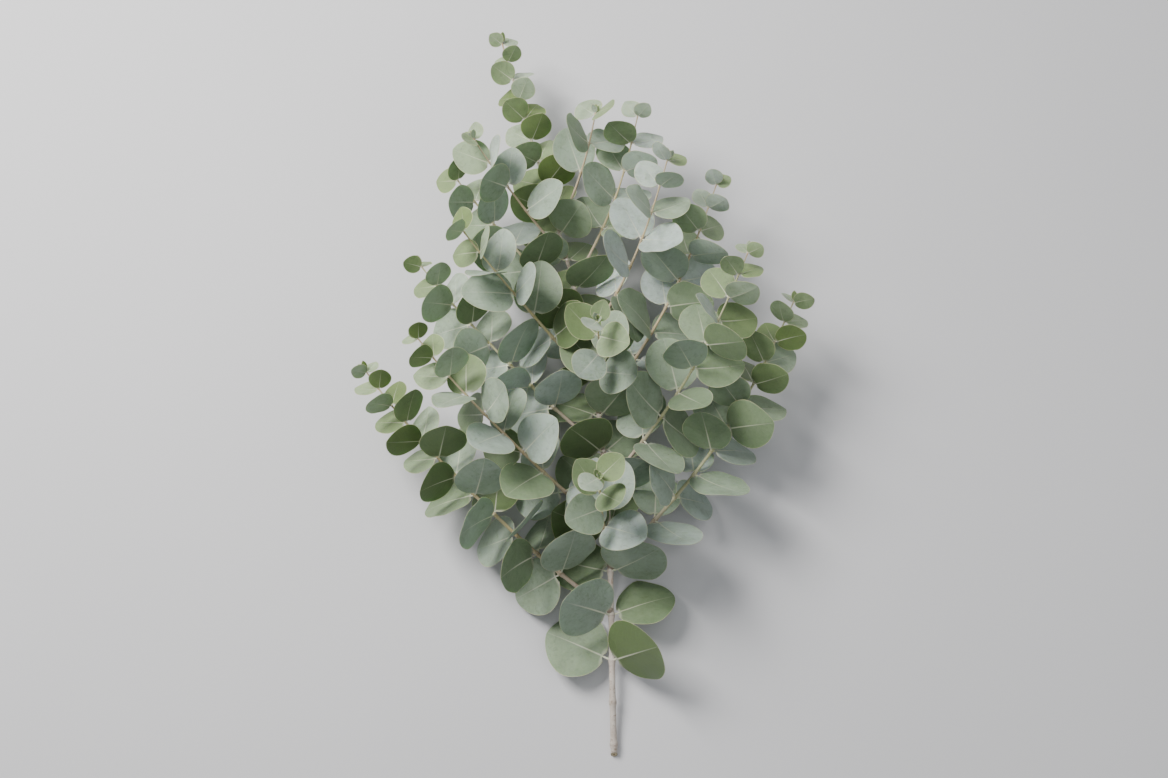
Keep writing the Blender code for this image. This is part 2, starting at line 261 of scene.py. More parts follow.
side_shoots = [
    side_shoot(1, 2, 50, 14, -20, -10, 0.290, 2),
    side_shoot(2, 1, -52, 17, 22, -12, 0.300, 2),
    side_shoot(3, 4, 48, 30, -18, -14, 0.245, 1),
    side_shoot(4, 3, -50, 34, 20, -18, 0.250, 1),
    side_shoot(5, 6, 44, 13, -16, -6, 0.225, 1),
    side_shoot(6, 5, -46, 14, 18, -8, 0.235, 1),
    side_shoot(7, 8, 42, 30, -16, -8, 0.190, 1),
    side_shoot(8, 7, -42, 34, 16, -10, 0.200, 0),
    side_shoot(9, 10, 40, 12, -16, 4, 0.160, 0),
    side_shoot(10, 9, -40, 14, 16, -4, 0.175, 0),
    side_shoot(11, 12, 36, 24, -12, 6, 0.125, 0),
    side_shoot(12, 11, -36, 26, 14, 6, 0.135, 0),
    side_shoot(13, 2, -8, 50, 12, 20, 0.150, 0),
    side_shoot(14, 6, 10, 54, -8, 18, 0.140, 0),
]
shoots = {shoot.name: shoot for shoot in [main_stem, *side_shoots]}
for shoot in shoots.values():
    low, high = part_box(shoot.name)
    tip = shoot.point(shoot.end())
    past = max(max(low[k] - tip[k], tip[k] - high[k]) for k in range(3))
    print(shoot.name, "tip at", [round(v, 3) for v in tip], "inside its solid's box:", past < 0.001)

# %% [markdown]
# ## Where a leaf sits
#
# A leaf is described by its length, its width, the matrix that carries it to its place, and six numbers
# that say how its middle surface bows: z = c0 + c1 x + c2 y + c3 x² + c4 x y + c5 y², with x across the
# leaf and y along its midrib. The same six numbers serve for a young leaf, where the rule gives them, and
# for a large one, where they are fitted to its solid.


# %% A leaf turned to the light
class Leaf:
    """Where one leaf is and how it bows. Age is 1 at a shoot's base and 0 at its tip."""

    def __init__(self, name, length, width, bow, matrix, age, root):
        self.name, self.length, self.width, self.bow = name, length, width, bow
        self.matrix, self.age, self.root = matrix, age, root


TURN_TO_FACE_UP = 0.5
STEEP_ENOUGH = 0.2


def leaf_matrix(shoot, distance, around, stalk_start, lean, roll):
    """Carries a flat leaf to its place, half turned so that its upper face looks at the sky."""
    side, ahead, up = shoot.axes(distance)
    outward = side * math.cos(around) + up * math.sin(around)
    along = ahead * math.cos(lean) + outward * math.sin(lean)
    upper = ahead * math.sin(lean) - outward * math.cos(lean)
    sky = Vector((0, 0, 1)) - along * along.z
    wanted = sky if upper.dot(sky) >= 0 else -sky
    if wanted.length > STEEP_ENOUGH:
        turn = upper.angle(wanted) * TURN_TO_FACE_UP
        sign = 1 if along.dot(upper.cross(wanted)) > 0 else -1
        upper = Matrix.Rotation(sign * turn, 3, along) @ upper
    upper = Matrix.Rotation(roll, 3, along) @ upper
    made = Matrix((along.cross(upper), along, upper)).transposed().to_4x4()
    made.translation = shoot.point(distance) + along * stalk_start
    return made


# %% A leaf's place from the growth rule
STALK_START_SHARE = 0.35
LEAN_AT_BASE, LEAN_LOST_AT_TIP = 74, 22


def natural_pair(shoot, number, distance):
    """Both leaves of a pair as they grow with nothing in their way, and how each could be pushed."""
    for half in range(2):
        around = PAIR_PHASE + math.pi / 2 * (number % 2) + math.pi * half
        hand = "right" if math.cos(around) > 0 else "left"
        name = f"{shoot.name}_leaf_{number + 1:02d}_{hand}"
        chance = random.Random(name)
        length = shoot.leaf_length_at(distance) * chance.uniform(0.88, 1.08)
        width = length * shoot.leaf_roundness * chance.uniform(0.94, 1.04)
        cup = chance.uniform(-0.02, 0.16)
        bend = chance.uniform(-0.05, 0.05)
        twist = chance.uniform(-0.12, 0.12)
        young = distance / shoot.length
        lean = math.radians(LEAN_AT_BASE - LEAN_LOST_AT_TIP * young**2 + chance.uniform(-10, 10))
        roll = math.radians(chance.uniform(-20, 20))
        around += math.radians(chance.uniform(-14, 14))
        bow = (0, 0, 4 * bend, 2 * cup / width, twist / length, -4 * bend / length)

        def posed(more_lean=0.0, swing=0.0):
            start = shoot.radius(distance) * STALK_START_SHARE
            return leaf_matrix(shoot, distance, around + swing, start, lean + more_lean, roll)

        yield Leaf(name, length, width, bow, posed(), 1 - young, 0.0), posed


# %% [markdown]
# ## Finding a young leaf
#
# A young leaf is joined to its shoot's solid. It may have been pushed by one of a few steps, so as to
# clear another shoot. The step that was used is the one that puts both corners of the leaf's tip on
# corners of the solid. Where no step does, that leaf had no room and didn't grow.

# %% The corners of a solid
MERGE_DISTANCE = 0.00001


def solid_points(node):
    """The solid's corners as an array, with the loose triangles' repeated corners merged."""
    shape = bmesh.new()
    shape.from_mesh(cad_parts[node].data)
    bmesh.ops.remove_doubles(shape, verts=shape.verts, dist=MERGE_DISTANCE)
    points = np.array([v.co for v in shape.verts])
    shape.free()
    return points


def corner_tree(node):
    """The solid's corners, ready to be asked for the nearest one."""
    points = solid_points(node)
    tree = KDTree(len(points))
    for i, point in enumerate(points):
        tree.insert(point, i)
    tree.balance()
    return tree


# %% A young leaf's place from its shoot's solid
YOUNG_PUSHES = (
    (0, 0), (-14, 0), (14, 0), (0, -18), (0, 18), (-14, -18), (-14, 18), (14, -18), (14, 18),
    (-28, 0), (28, 0), (0, -36), (0, 36), (-28, -36), (-28, 36),
)
TIP_HALF_WIDTH = 0.0009
TIP_MATCH = 0.0006


def found_young_leaf(natural, posed, tree):
    """Moves the leaf to the pose that its shoot's solid shows, and says whether there was one."""
    best, best_miss = None, TIP_MATCH
    for lean, swing in YOUNG_PUSHES:
        matrix = posed(math.radians(lean), math.radians(swing))
        corners = [matrix @ Vector((hand * TIP_HALF_WIDTH, natural.length, 0)) for hand in (-1, 1)]
        miss = max(tree.find(corner)[2] for corner in corners)
        if miss < best_miss:
            best, best_miss = matrix, miss
    if best is not None:
        natural.matrix = best
    return best is not None


# %% [markdown]
# ## Measuring a large leaf
#
# The ten points of the solid nearest to the stem are the end of its stalk, and the ten farthest from
# there are its tip. The line between them is the midrib. The direction in which the rest spreads most
# is across the leaf. A least-squares fit of the points' heights then gives the six bow numbers.


# %% A leaf's place from its solid
END_POINTS = 10
WIDER_THAN_SOLID = 1.01
ROOT_INTO_STEM = 0.0028


def measured_leaf(natural, stem_point):
    """The large leaf as its solid shows it, and how far its bow is from the solid at the worst point."""
    points = solid_points(natural.name)
    from_stem = np.linalg.norm(points - np.array(stem_point), axis=1)
    base = points[np.argsort(from_stem)[:END_POINTS]].mean(axis=0)
    tip = points[np.argsort(np.linalg.norm(points - base, axis=1))[-END_POINTS:]].mean(axis=0)
    length = float(np.linalg.norm(tip - base))
    along = (tip - base) / length
    y = (points - base) @ along
    flat = points - base - np.outer(y, along)
    across = np.linalg.svd(flat, full_matrices=False)[2][0]
    upper = np.cross(across, along)
    if upper @ np.array(natural.matrix.col[2][:3]) < 0:
        across, upper = -across, -upper
    x, z = flat @ across, flat @ upper
    terms = np.stack([np.ones_like(x), x, y, x * x, x * y, y * y], axis=1)
    bow = np.linalg.lstsq(terms, z, rcond=None)[0]
    matrix = Matrix((Vector(across), Vector(along), Vector(upper))).transposed().to_4x4()
    matrix.translation = Vector(base)
    misfit = float(np.abs(terms @ bow - z).max())
    width = float(x.max() - x.min()) * WIDER_THAN_SOLID
    return Leaf(natural.name, length, width, tuple(bow), matrix, natural.age, ROOT_INTO_STEM), misfit


# %% Every leaf of the branch
large_leaves, young_leaves, missing = [], {}, []
worst = 0.0
for shoot in shoots.values():
    young_leaves[shoot.name] = []
    tree = corner_tree(shoot.name)
    for number, distance in enumerate(shoot.pair_distances()):
        for natural, posed in natural_pair(shoot, number, distance):
            if natural.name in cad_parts:
                leaf, misfit = measured_leaf(natural, shoot.point(distance))
                large_leaves.append(leaf)
                worst = max(worst, misfit)
            elif number >= shoot.separate_pairs and found_young_leaf(natural, posed, tree):
                young_leaves[shoot.name].append(natural)
            else:
                missing.append(natural.name)
print(len(large_leaves), "large leaves, worst misfit", round(worst * 1000, 2), "mm, and",
      sum(len(v) for v in young_leaves.values()), "young ones; no room for", missing)

# %% [markdown]
# ## The shape of one leaf
#
# A silver-dollar leaf is nearly round, a little notched at its base, on a short stalk. The stalk runs on
# as a raised midrib under the blade and a shallow groove on top. The edge is wavy and the two halves fold
# slightly along the midrib. A flat grid is given thickness with solidify while it is still a plain
# square, so that each corner's place in the square says where on the leaf it belongs, and is then shaped.

# %% Leaf outline
STALK_SHARE = 0.07
BASE_LOBES = 0.045
BLUNTNESS, TIP_TAPER = 0.53, 0.12


def smooth_step(value, low, high):
    share = min(max((value - low) / (high - low), 0), 1)
    return share * share * (3 - 2 * share)


def outline(leaf, across, along, widest, point):
    """(x, y, half the width there) on the flat leaf, across from -1 to 1 and along from 0 to 1."""
    blade = max(0.0, (along - STALK_SHARE) / (1 - STALK_SHARE))
    power = BLUNTNESS + TIP_TAPER * point * blade
    full = math.sin(math.pi * blade**widest) ** power if 0 < blade < 1 else 0.0
    stalk = (0.0006 + 0.008 * leaf.length) * (0.8 if along > 0.03 else 1.0)
    half = max(stalk * 0.9, leaf.width / 2 * full)
    lobe = BASE_LOBES * leaf.length * across**2 * (1 - blade) ** 4 if blade > 0 else 0.0
    return across * half, along * leaf.length - lobe, half


# %% What makes each leaf its own
BLADE_THICKNESS = 0.00036
RIDGE_WIDTH, RIDGE_HEIGHT, GROOVE_DEPTH = 0.0009, 0.00045, 0.00016
STALK_HALF_THICKNESS = 0.00062
BLADE_FROM, BLADE_FULL = 0.07, 0.22
SHOOT_TONE_SPREAD = 0.22
FULL_THICKNESS_LENGTH = 0.055


class LeafForm:
    """The small differences that make each leaf its own, and the surface they give."""

    def __init__(self, leaf):
        chance = random.Random("form of " + leaf.name)
        self.leaf = leaf
        self.waves = []
        for _ in ("left edge", "right edge"):
            self.waves.append((chance.uniform(0.7, 2.6), chance.uniform(0, 6.3), chance.uniform(0.2, 1)))
        self.wave_height = chance.uniform(0.008, 0.030) * leaf.width
        self.fold = chance.uniform(0.0, 0.10)
        self.skew = chance.uniform(-0.03, 0.03) * leaf.width
        self.widest = chance.uniform(0.72, 0.90)
        self.point = max(0.0, chance.uniform(-0.6, 1.0))
        shoot_name = leaf.name.split("_leaf_")[0].split("_bud_")[0]
        shoot_tone = random.Random("tone of " + shoot_name).uniform(-SHOOT_TONE_SPREAD, SHOOT_TONE_SPREAD)
        self.tone = min(max(0.10 + 0.85 * chance.random() + shoot_tone, 0.0), 1.0)
        self.thick = (leaf.length / FULL_THICKNESS_LENGTH) ** 0.5

    def middle_rise(self, x, y, across, along, half, blade_part):
        """The height of the middle layer: the bow, the wavy edge and the fold along the midrib."""
        share = min(abs(across), 1.0)
        rise = sum(c * t for c, t in zip(self.leaf.bow, (1, x, y, x * x, x * y, y * y), strict=True))
        frequency, phase, strength = self.waves[0 if across < 0 else 1]
        wave = math.sin(frequency * 2 * math.pi * along + phase) * strength
        rise += blade_part * self.wave_height * wave * share**2.5 * (1 - along**6)
        rise += blade_part * self.fold * half * (share - share**2) * 0.8
        return rise

    def place(self, across, along, lower):
        """The point of that face in the leaf's own space, and its distance from the edge."""
        x, y, half = outline(self.leaf, across, along, self.widest, self.point)
        share = min(abs(across), 1.0)
        blade_part = smooth_step(along, BLADE_FROM, BLADE_FULL)
        rise = self.middle_rise(x, y, across, along, half, blade_part)
        ridge = math.exp(-((x / (RIDGE_WIDTH * self.thick)) ** 2))
        stalk = STALK_HALF_THICKNESS * self.thick * math.sqrt(max(0.0, 1 - 0.95 * share**2))
        blade = BLADE_THICKNESS / 2 * (1 - 0.6 * share**6)
        if lower:
            under = blade + RIDGE_HEIGHT * self.thick * ridge * (1 - along) ** 0.8
            rise -= under * blade_part + stalk * (1 - blade_part)
        else:
            over = blade - GROOVE_DEPTH * self.thick * ridge * (1 - along)
            rise += over * blade_part + stalk * (1 - blade_part)
        x += self.skew * math.sin(math.pi * along) * blade_part
        if along == 0:
            y -= self.leaf.root
        return Vector((x, y, rise)), half * (1 - share)


# %% [markdown]
# ## Growing a leaf into a mesh
#
# Columns crowd towards the midrib, where the relief is, and rows crowd towards the base and the tip,
# where the outline turns. Each leaf writes three facts onto its points for the materials to read: how far
# the point is from the edge, how old the leaf is, and the leaf's own tone. The UV map is the leaf
# pressed flat, so that veins can be drawn on it.


# %% Add one leaf to a mesh
LARGE_COLUMNS, LARGE_ROWS = 14, 26
YOUNG_COLUMNS, YOUNG_ROWS = 10, 20
STALK_ROWS = 4
CROWDING = 1.45
GRID_THICKNESS = 0.1
RIM_IS_UPPER = 0.4


def grid_share(value, rows):
    """The share along the leaf of a grid row: a few rows for the stalk, then the blade."""
    row = round((value + 1) / 2 * rows)
    if row <= STALK_ROWS:
        return STALK_SHARE * row / STALK_ROWS
    blade = (1 - math.cos(math.pi * (row - STALK_ROWS) / (rows - STALK_ROWS))) / 2
    return STALK_SHARE + (1 - STALK_SHARE) * blade


def add_leaf(shape, form, columns, rows):
    """Grows one leaf in the mesh. The side of the thickened grid that is lower becomes the lower face."""
    edge_layer = shape.verts.layers.float["edge"]
    tone_layer = shape.verts.layers.float["tone"]
    age_layer = shape.verts.layers.float["age"]
    flat_layer = shape.verts.layers.float_vector["flat"]
    uv_layer = shape.loops.layers.uv["leaf"]
    first_vert, first_face = len(shape.verts), len(shape.faces)
    bmesh.ops.create_grid(shape, x_segments=columns, y_segments=rows, size=1)
    shape.faces.ensure_lookup_table()
    bmesh.ops.solidify(shape, geom=shape.faces[first_face:], thickness=GRID_THICKNESS)
    shape.verts.ensure_lookup_table()
    shape.faces.ensure_lookup_table()
    for vert in shape.verts[first_vert:]:
        across = math.copysign(abs(vert.co.x) ** CROWDING, vert.co.x)
        along = grid_share(vert.co.y, rows)
        lower = vert.co.z < -GRID_THICKNESS / 2
        place, edge = form.place(across, along, lower)
        vert[edge_layer] = edge * 1000
        vert[tone_layer] = form.tone
        vert[age_layer] = form.leaf.age
        vert[flat_layer] = (place.x / form.leaf.length + 0.5, along, 1.0 if lower else 0.0)
        vert.co = form.leaf.matrix @ place
    for face in shape.faces[first_face:]:
        face.smooth = True
        below = sum(v[flat_layer].z for v in face.verts) / len(face.verts)
        face.material_index = 1 if below > RIM_IS_UPPER else 0
        for loop in face.loops:
            loop[uv_layer].uv = loop.vert[flat_layer].xy


def leaf_piece(name, leaves, columns, rows):
    """One object that holds these leaves."""
    shape = bmesh.new()
    for layer in ("edge", "tone", "age"):
        shape.verts.layers.float.new(layer)
    shape.verts.layers.float_vector.new("flat")
    shape.loops.layers.uv.new("leaf")
    for leaf in leaves:
        add_leaf(shape, LeafForm(leaf), columns, rows)
    mesh = bpy.data.meshes.new(name)
    shape.to_mesh(mesh)
    shape.free()
    mesh.set_sharp_from_angle(angle=math.radians(62))
    made = bpy.data.objects.new(name, mesh)
    bpy.context.scene.collection.objects.link(made)
    return made


# %% [markdown]
# ## Room between the leaves
#
# The solids clear each other, but a wavy edge or a wider blade could still carry a fine leaf through its
# neighbour or the table. Each leaf is first laid out as a coarse net of its two faces, without the stalk.
# A net that cuts one that is already in place is tilted or rolled a little about its stalk, and made
# slightly smaller if that isn't enough, which is how crowded leaves settle on a real branch too.

# %% Lay out a leaf's net
NET_COLUMNS, NET_ROWS = 12, 26
NET_START = 0.14
TABLE_CLEARANCE = -0.0004


def leaf_net(leaf):
    """The leaf's blade as a search tree, and how many of the net's points are below the table's top."""
    form = LeafForm(leaf)
    net = bmesh.new()
    for lower in (False, True):
        made = bmesh.ops.create_grid(net, x_segments=NET_COLUMNS, y_segments=NET_ROWS, size=1)
        for vert in made["verts"]:
            along = NET_START + (1 - NET_START) * (vert.co.y + 1) / 2
            vert.co = leaf.matrix @ form.place(vert.co.x, along, lower)[0]
    sunk = sum(1 for v in net.verts if v.co.z < TABLE_CLEARANCE)
    tree = BVHTree.FromBMesh(net)
    net.free()
    return tree, sunk


# %% Move a leaf out of its neighbours' way
NO_STEP = (1.0, 0, 0)
SIZES = (1.0, 0.94, 0.88)
TURNS = (2, 4, 7, 10, 14)


def steps_aside():
    """(size, tilt, roll) to try, in degrees, from no change at all to the largest."""
    yield NO_STEP
    for size in SIZES:
        for turn in TURNS:
            yield from ((size, turn, 0), (size, -turn, 0), (size, 0, turn), (size, 0, -turn))
            yield from ((size, turn, turn), (size, -turn, turn), (size, turn, -turn), (size, -turn, -turn))


def settle(leaf, placed):
    """Gives the leaf the first step that clears the placed nets, or the best. Returns (moved, cuts)."""
    matrix, length, width = leaf.matrix.copy(), leaf.length, leaf.width
    best = None
    for step in steps_aside():
        size, tilt, roll = step
        turned = Matrix.Rotation(math.radians(tilt), 4, "X") @ Matrix.Rotation(math.radians(roll), 4, "Y")
        leaf.matrix, leaf.length, leaf.width = matrix @ turned, length * size, width * size
        net, cuts = leaf_net(leaf)
        cuts += sum(len(net.overlap(other)) for other in placed)
        if best is None or cuts < best[0]:
            best = cuts, step, leaf.matrix, leaf.length, leaf.width, net
        if cuts == 0:
            break
    cuts, step, leaf.matrix, leaf.length, leaf.width, net = best
    placed.append(net)
    return step != NO_STEP, cuts


# %% Settle every leaf
placed, results = [], []
for leaf in large_leaves + [leaf for leaves in young_leaves.values() for leaf in leaves]:
    results.append(settle(leaf, placed))
print(sum(moved for moved, _ in results), "of", len(results), "leaves moved aside,",
      sum(cuts > 0 for _, cuts in results), "still touch")

# %% [markdown]
# ## Growing the leaves
#
# Each large leaf is an object of its own and stands for its solid. A shoot's young leaves are one object,
# with the two folded leaves of the bud at its tip.


# %% The bud at a shoot's tip
BUD_PAIRS = 2
BUD_STEP = 0.0012
BUD_ROUNDNESS, BUD_BOW = 0.6, 14


def bud_leaves(shoot):
    """Two pairs of tiny leaves, still folded forwards round the growing tip."""
    found = []
    for pair in range(BUD_PAIRS):
        distance = shoot.end() - BUD_STEP + BUD_STEP * pair
        for half in range(2):
            name = f"{shoot.name}_bud_{pair}_{half}"
            chance = random.Random(name)
            length = shoot.tip_leaf_length * (0.62 - 0.2 * pair)
            around = PAIR_PHASE + math.pi / 2 * (pair + len(shoot.pair_distances())) + math.pi * half
            lean = math.radians(26 - 10 * pair + chance.uniform(-5, 5))
            matrix = leaf_matrix(shoot, distance, around, shoot.tip_radius * 0.5, lean, 0.0)
            bow = (0, 0, 0, BUD_BOW, 0, 0)
            found.append(Leaf(name, length, length * BUD_ROUNDNESS, bow, matrix, 0.0, 0.0))
    return found


# %% All the leaves
leaf_pieces = []
for leaf in large_leaves:
    piece = leaf_piece(leaf.name + "_blade", [leaf], LARGE_COLUMNS, LARGE_ROWS)
    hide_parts(leaf.name)
    leaf_pieces.append(piece)
for shoot in shoots.values():
    leaves = young_leaves[shoot.name] + bud_leaves(shoot)
    piece = leaf_piece(shoot.name + "_young_leaves", leaves, YOUNG_COLUMNS, YOUNG_ROWS)
    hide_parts(shoot.name)
    leaf_pieces.append(piece)
for piece in leaf_pieces:
    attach(piece, "root")
print(len(leaf_pieces), "leaf pieces,", sum(len(p.data.polygons) for p in leaf_pieces), "faces")

# %% [markdown]
# ## The stems
#
# A stem is a strip of faces rolled into a tube along its centre line. It swells into a knuckle at every
# leaf pair, and a side shoot flares where it leaves the main stem. The strip keeps its UV map when its
# long edges are merged: across is round the stem, and up is millimetres along it.

# %% Stem thickness
BETWEEN_KNUCKLES, KNUCKLE_HEIGHT = 0.94, 0.30
KNUCKLE_LENGTH = 0.0028
SCAR_PAIRS = (0.014, 0.051)
FLARE_HEIGHT, FLARE_LENGTH, FLARE_START = 0.7, 0.0035, 0.001
RIPPLE_HEIGHT, SHORT_RIPPLE, LONG_RIPPLE = 0.02, 900, 370


def knuckle(shoot, distance):
    """How far into a knuckle that point is, from 0 to 1."""
    places = shoot.pair_distances() + (list(SCAR_PAIRS) if shoot is main_stem else [])
    return max(math.exp(-(((distance - at) / KNUCKLE_LENGTH) ** 2)) for at in places)


def stem_radius(shoot, distance):
    radius = shoot.radius(distance) * (BETWEEN_KNUCKLES + KNUCKLE_HEIGHT * knuckle(shoot, distance))
    if shoot is not main_stem:
        radius *= 1 + FLARE_HEIGHT * math.exp(-max(distance + FLARE_START, 0) / FLARE_LENGTH)
    ripple = math.sin(distance * SHORT_RIPPLE + len(shoot.name)) + math.sin(distance * LONG_RIPPLE)
    return radius * (1 + RIPPLE_HEIGHT * ripple)


# %% Roll a strip into a stem
SEAM_DISTANCE = 0.000001


def stem_shape(shoot, sides, rings):
    """An open tube along the shoot, from inside the main stem to just past the last leaf pair."""
    shape = bmesh.new()
    knuckle_layer = shape.verts.layers.float.new("knuckle")
    share_layer = shape.verts.layers.float.new("share")
    tone_layer = shape.verts.layers.float.new("tone")
    tone = random.Random("bark of " + shoot.name).random()
    uv_layer = shape.loops.layers.uv.new("stem")
    bmesh.ops.create_grid(shape, x_segments=sides, y_segments=rings, size=1)
    back = 0.0 if shoot is main_stem else -shoot.gap
    span = shoot.end() - back
    for face in shape.faces:
        face.smooth = True
        for loop in face.loops:
            round_share = (loop.vert.co.x + 1) / 2
            distance = back + (loop.vert.co.y + 1) / 2 * span
            loop[uv_layer].uv = (round_share, distance * 1000)
    for vert in shape.verts:
        turn = math.pi * vert.co.x
        distance = back + (vert.co.y + 1) / 2 * span
        side, ahead, up = shoot.axes(max(distance, 0))
        radius = stem_radius(shoot, distance)
        vert[knuckle_layer] = knuckle(shoot, distance)
        vert[share_layer] = distance / shoot.length
        vert[tone_layer] = tone
        vert.co = shoot.point(distance) + side * radius * math.cos(turn) + up * radius * math.sin(turn)
    bmesh.ops.remove_doubles(shape, verts=shape.verts, dist=SEAM_DISTANCE)
    bmesh.ops.recalc_face_normals(shape, faces=shape.faces)
    return shape


# %% Close the tube and make it an object
def close_ends(shape):
    """Fills the open ends, and gives them the second material."""
    filled = bmesh.ops.holes_fill(shape, edges=[e for e in shape.edges if e.is_boundary])
    for face in filled["faces"]:
        face.material_index = 1
        face.smooth = False
    return filled["faces"]


def stem_object(shape, name, node):
    """The finished stem, which stands for that solid."""
    mesh = bpy.data.meshes.new(name)
    shape.to_mesh(mesh)
    shape.free()
    made = bpy.data.objects.new(name, mesh)
    bpy.context.scene.collection.objects.link(made)
    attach(made, "root")
    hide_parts(node)
    return made


# %% [markdown]
# ## The cut end
#
# Secateurs have cut the main stem at a slant, and the cut looks up and back. It is made with bisect, as in
# the solid. The hole that it leaves is filled, then inset twice, the second time pushed in a little. That
# gives three faces one inside the other: the bark ring, the wood and the soft pith.

# %% The main stem's cut
CUT_SLANT = math.radians(-40)
STEM_SIDES, STEM_RINGS = 20, 300
BARK_RING, WOOD_RING = 0.00045, 0.0017
PITH_DEPTH = 0.00008

shape = stem_shape(main_stem, STEM_SIDES, STEM_RINGS)
side, ahead, up = main_stem.axes(0)
slant = Matrix.Rotation(CUT_SLANT, 3, side) @ ahead
cut_middle = main_stem.point(main_stem.base_radius * 1.5)
everything = shape.verts[:] + shape.edges[:] + shape.faces[:]
bmesh.ops.bisect_plane(shape, geom=everything, plane_co=cut_middle, plane_no=slant, clear_inner=True)
ends = close_ends(shape)
cut_face = max(ends, key=lambda f: f.calc_area())
for thickness, depth, slot_index in ((BARK_RING, 0.0, 2), (WOOD_RING, -PITH_DEPTH, 3)):
    bmesh.ops.inset_region(shape, faces=[cut_face], thickness=thickness, depth=depth)
    cut_face.material_index = slot_index
print("cut face:", round(cut_face.calc_area() * 1e6, 2), "mm2 of pith")
bark_pieces = [stem_object(shape, "main_stem_bark", "main_stem")]

# %% The side shoots' stems
SHOOT_SIDES = 12
RINGS_PER_METRE = 460

for shoot in side_shoots:
    shape = stem_shape(shoot, SHOOT_SIDES, int(shoot.length * RINGS_PER_METRE))
    close_ends(shape)
    bark_pieces.append(stem_object(shape, shoot.name + "_bark", shoot.name))
print(len(bark_pieces), "stems")

# %% [markdown]
# ## Building materials with nodes
#
# Every finish here is procedural. Small helpers keep the node trees short to read: one adds a node and
# wires or sets its inputs, and the others do a sum, an eased ramp, a mix of two colours or a noise.
# Effects that several finishes share are node groups.


# %% Add a node
def feed(tree, socket, value):
    """Gives a socket a value, or another node's output to read."""
    if isinstance(value, bpy.types.NodeSocket):
        tree.links.new(value, socket)
    else:
        socket.default_value = value


def add_node(tree, kind, inputs=None, **settings):
    """A node of that kind, with its settings set and its inputs fed."""
    made = tree.nodes.new(kind)
    for name, value in settings.items():
        setattr(made, name, value)
    for name, value in (inputs or {}).items():
        feed(tree, made.inputs[name], value)
    return made


# %% Sums, ramps, mixes and noise
def sum_of(tree, operation, *values, clamp=False):
    inputs = dict(enumerate(values))
    return add_node(tree, "ShaderNodeMath", inputs, operation=operation, use_clamp=clamp).outputs[0]


def ramp(tree, value, low, high, to_low=0.0, to_high=1.0):
    """The value's share of the way from low to high, eased at both ends."""
    inputs = {"Value": value, "From Min": low, "From Max": high, "To Min": to_low, "To Max": to_high}
    return add_node(tree, "ShaderNodeMapRange", inputs, interpolation_type="SMOOTHSTEP").outputs["Result"]


def mixed(tree, share, first, second):
    """Two colours mixed. A colour is three numbers or another node's output."""
    made = add_node(tree, "ShaderNodeMix", {"Factor": share}, data_type="RGBA")
    for socket, value in ((made.inputs[6], first), (made.inputs[7], second)):
        feed(tree, socket, value if isinstance(value, bpy.types.NodeSocket) else (*value, 1))
    return made.outputs[2]


def noise(tree, place, scale, detail=2.0, rough=0.5, twist=0.0):
    inputs = {"Vector": place, "Scale": scale, "Detail": detail, "Roughness": rough, "Distortion": twist}
    return add_node(tree, "ShaderNodeTexNoise", inputs).outputs["Fac"]


# %% Groups and materials
def new_group(name, inputs, outputs):
    """An empty node group with named sockets, and its input and output nodes."""
    tree = bpy.data.node_groups.new(name, "ShaderNodeTree")
    for socket_name, kind, value in inputs:
        socket = tree.interface.new_socket(name=socket_name, in_out="INPUT", socket_type=kind)
        if value is not None:
            socket.default_value = value
    for socket_name, kind in outputs:
        tree.interface.new_socket(name=socket_name, in_out="OUTPUT", socket_type=kind)
    return tree, tree.nodes.new("NodeGroupInput").outputs, tree.nodes.new("NodeGroupOutput")


def place_group(tree, group, inputs):
    made = add_node(tree, "ShaderNodeGroup", node_tree=group)
    for name, value in inputs.items():
        feed(tree, made.inputs[name], value)
    return made.outputs


def new_material(name, roughness):
    """A material, its node tree and its Principled shader."""
    made = bpy.data.materials.new(name)
    made.use_nodes = True
    shader = made.node_tree.nodes["Principled BSDF"]
    shader.inputs["Roughness"].default_value = roughness
    shader.inputs["Metallic"].default_value = 0.0
    return made, made.node_tree, shader


# %% [markdown]
# ## The waxy bloom
#
# The blue-grey of these leaves is a powder of wax on a green skin. It lies in soft patches, it is rubbed
# off in streaks where leaves touch, and it is speckled close up. The group gives two masks: how much
# bloom there is, and the fine speckle in it.

# %% Bloom group
FLOAT, VECTOR = "NodeSocketFloat", "NodeSocketVector"
bloom_group, given, result = new_group(
    "waxy bloom",
    [("Place", VECTOR, None), ("Patch scale", FLOAT, 30.0), ("Rubbed", FLOAT, 0.5)],
    [("Bloom", FLOAT), ("Speckle", FLOAT)],
)
tree = bloom_group
broad = noise(tree, given["Place"], given["Patch scale"], 3, 0.55, 0.6)
fine = noise(tree, given["Place"], sum_of(tree, "MULTIPLY", given["Patch scale"], 7), 4, 0.65)
streaks = noise(tree, given["Place"], sum_of(tree, "MULTIPLY", given["Patch scale"], 2.6), 2, 0.5, 3.0)
rubbed = sum_of(tree, "MULTIPLY", ramp(tree, streaks, 0.56, 0.70), given["Rubbed"])
blotches = ramp(tree, broad, 0.30, 0.68, 0.64, 1.0)
patches = sum_of(tree, "ADD", blotches, ramp(tree, fine, 0.3, 0.7, -0.10, 0.10))
tree.links.new(sum_of(tree, "SUBTRACT", patches, rubbed, clamp=True), result.inputs["Bloom"])
speckle = noise(tree, given["Place"], 1900, 2, 0.6)
tree.links.new(ramp(tree, speckle, 0.35, 0.65), result.inputs["Speckle"])

# %% [markdown]
# ## The veins
#
# The midrib is a pale line that thins and fades towards the tip. Side veins leave it at a slant and bend
# towards the tip near the edge. The group draws both from the leaf's flat UV map. Repeating the slanted
# distance along the leaf gives one thin line for each vein, and noise bends the lines and hides them in
# patches. Fine cells between them are the network of the smallest veins.

